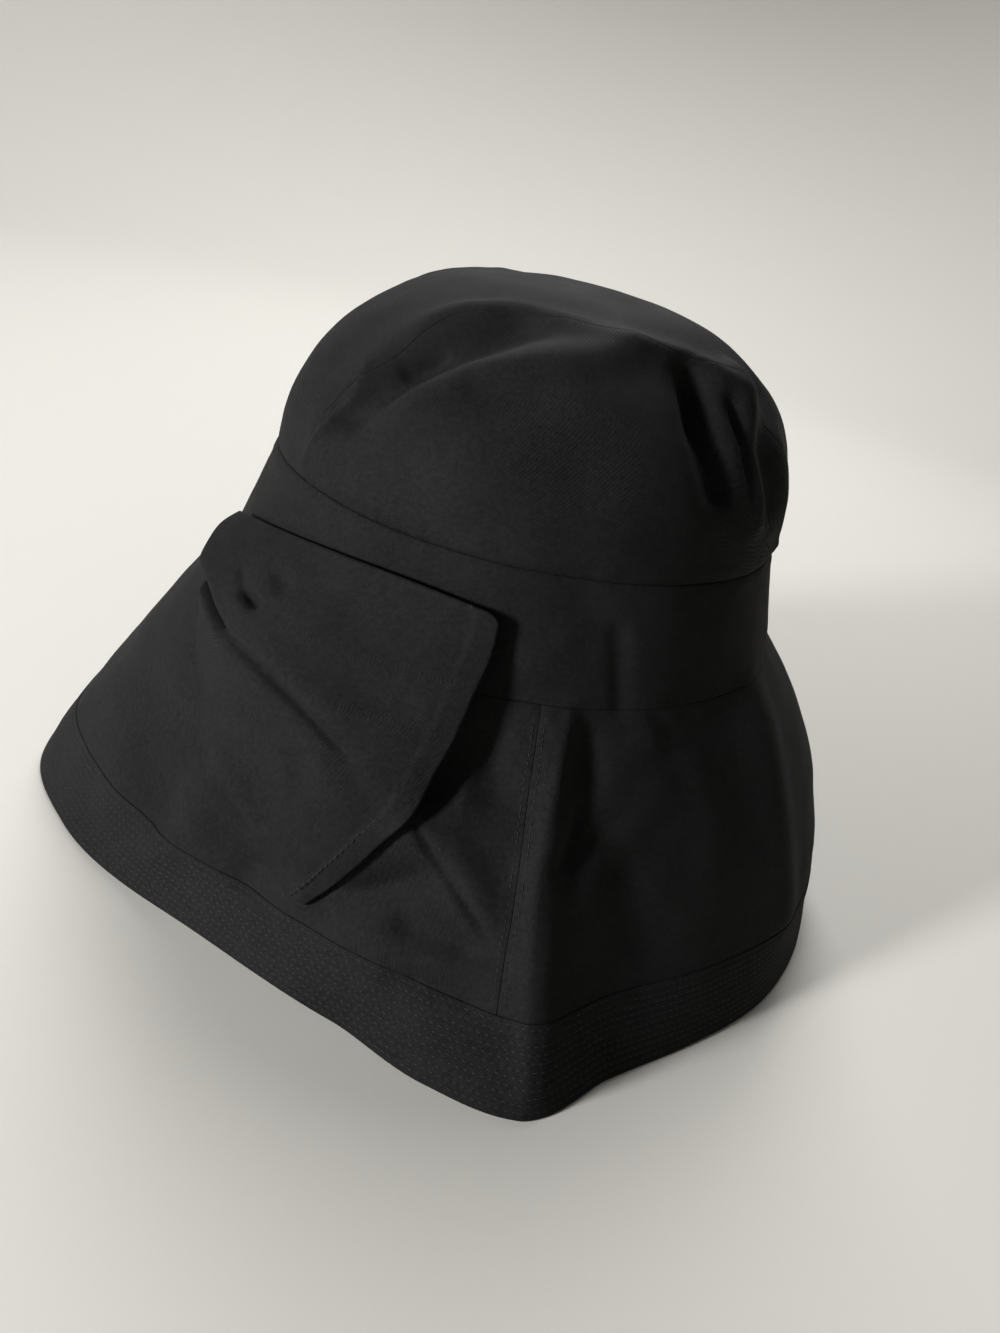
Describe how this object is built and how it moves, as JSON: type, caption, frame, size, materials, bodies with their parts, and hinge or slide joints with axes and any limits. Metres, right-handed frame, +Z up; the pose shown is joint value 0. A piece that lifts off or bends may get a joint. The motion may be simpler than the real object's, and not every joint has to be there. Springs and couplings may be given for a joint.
{
  "type": "sun hat",
  "caption": "Soft black cloth sun hat with a rounded panelled crown, a plain side band, a deep drooping brim with a stitched hem and a loose patch pocket on the wearer's left.",
  "frame": {"origin": "under the middle of the hat, on the surface that its rim rests on", "axes": "+Z up through the crown; the wearer faces -Y; +X is the wearer's left, where the pocket is"},
  "size_m": [0.3038, 0.3128, 0.2126],
  "materials": {
    "crown_cloth": "black, fine plain weave, matt with a faint sheen on the ridges",
    "band_cloth": "black, fine plain weave, matt",
    "brim_cloth": "black, fine plain weave, matt, softly creased",
    "hem_cloth": "black, fine plain weave under close rows of black stitching",
    "pocket_cloth": "black, fine plain weave, matt, with a folded hem at its rear edge"
  },
  "bodies": {
    "root": {"crown_centre_strip": "crown_cloth", "crown_side_left": "crown_cloth", "crown_side_right": "crown_cloth", "side_band": "band_cloth", "brim_front": "brim_cloth", "brim_back": "brim_cloth", "hem_band": "hem_cloth", "pocket_patch": "pocket_cloth"}
  },
  "joints": []
}
